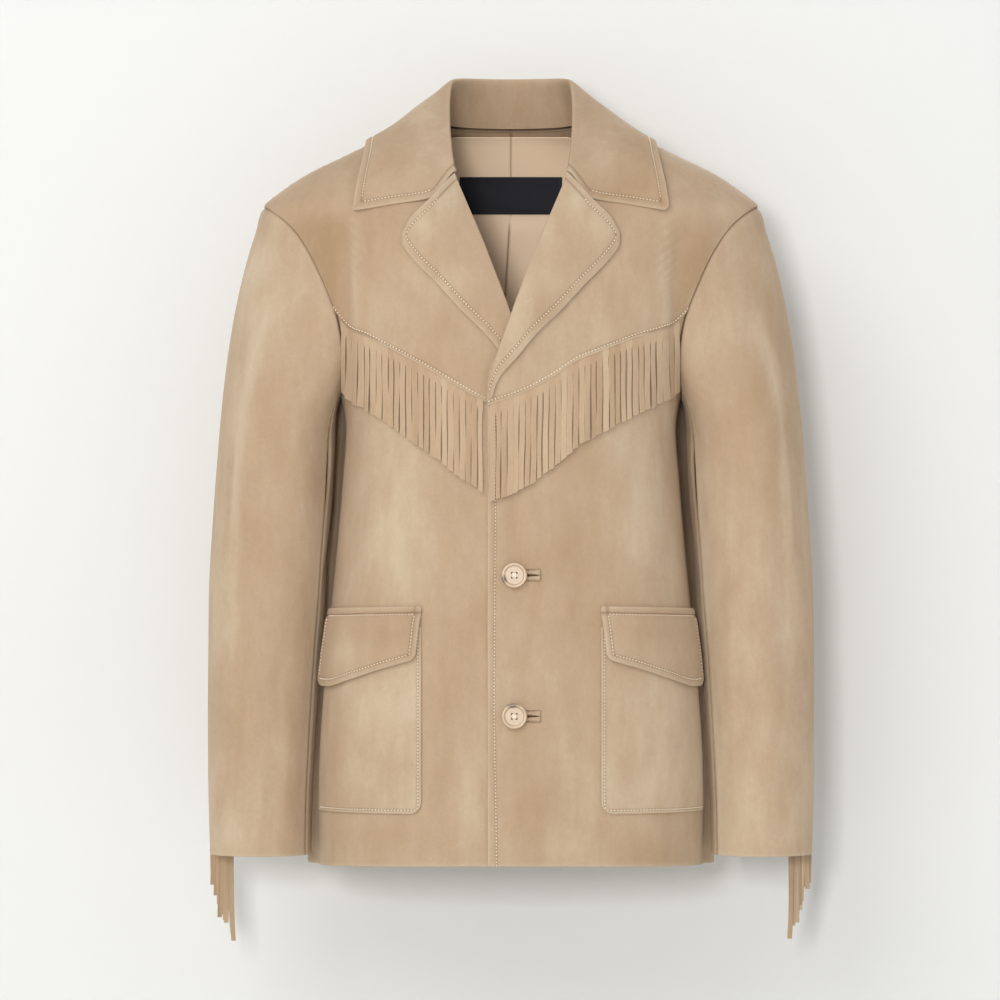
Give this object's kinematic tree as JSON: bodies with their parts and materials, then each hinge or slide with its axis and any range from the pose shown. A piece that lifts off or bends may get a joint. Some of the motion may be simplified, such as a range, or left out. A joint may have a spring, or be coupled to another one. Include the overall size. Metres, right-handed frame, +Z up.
{
  "type": "suede western blazer with chest and cuff fringe, filled out as worn",
  "caption": "Hollow suede jacket in its worn shape, with notched lapels, folded collar, yoke fringe, cuff fringe, flap patch pockets and buttons.",
  "frame": {"origin": "in the neck opening on the centre plane, at shoulder height, where the wearer's neck and shoulders carry the jacket", "axes": "+Z up, towards the collar; -Y to the front; +X to the wearer's left"},
  "size_m": [0.5728, 0.2585, 0.8252],
  "materials": {
    "suede": "matt tan suede nap",
    "suede_fringe": "matt tan suede strips",
    "lining": "smooth beige satin",
    "label": "plain black woven tape, bare",
    "button": "polished beige horn-like button"
  },
  "bodies": {
    "root": {"back_left": "suede", "back_right": "suede", "front_left": "suede", "front_right": "suede", "yoke_left": "suede", "yoke_right": "suede", "lapel_left": "suede", "lapel_right": "suede", "collar_fall": "suede", "collar_stand": "suede", "sleeve_top_left": "suede", "sleeve_top_right": "suede", "sleeve_under_left": "suede", "sleeve_under_right": "suede", "pocket_left": "suede", "pocket_right": "suede", "pocket_flap_left": "suede", "pocket_flap_right": "suede", "buttonhole_upper": "suede", "buttonhole_lower": "suede", "fringe_chest_left": "suede_fringe", "fringe_chest_right": "suede_fringe", "fringe_sleeve_left": "suede_fringe", "fringe_sleeve_right": "suede_fringe", "lining_back": "lining", "neck_label": "label", "button_upper": "button", "button_lower": "button"}
  },
  "joints": []
}
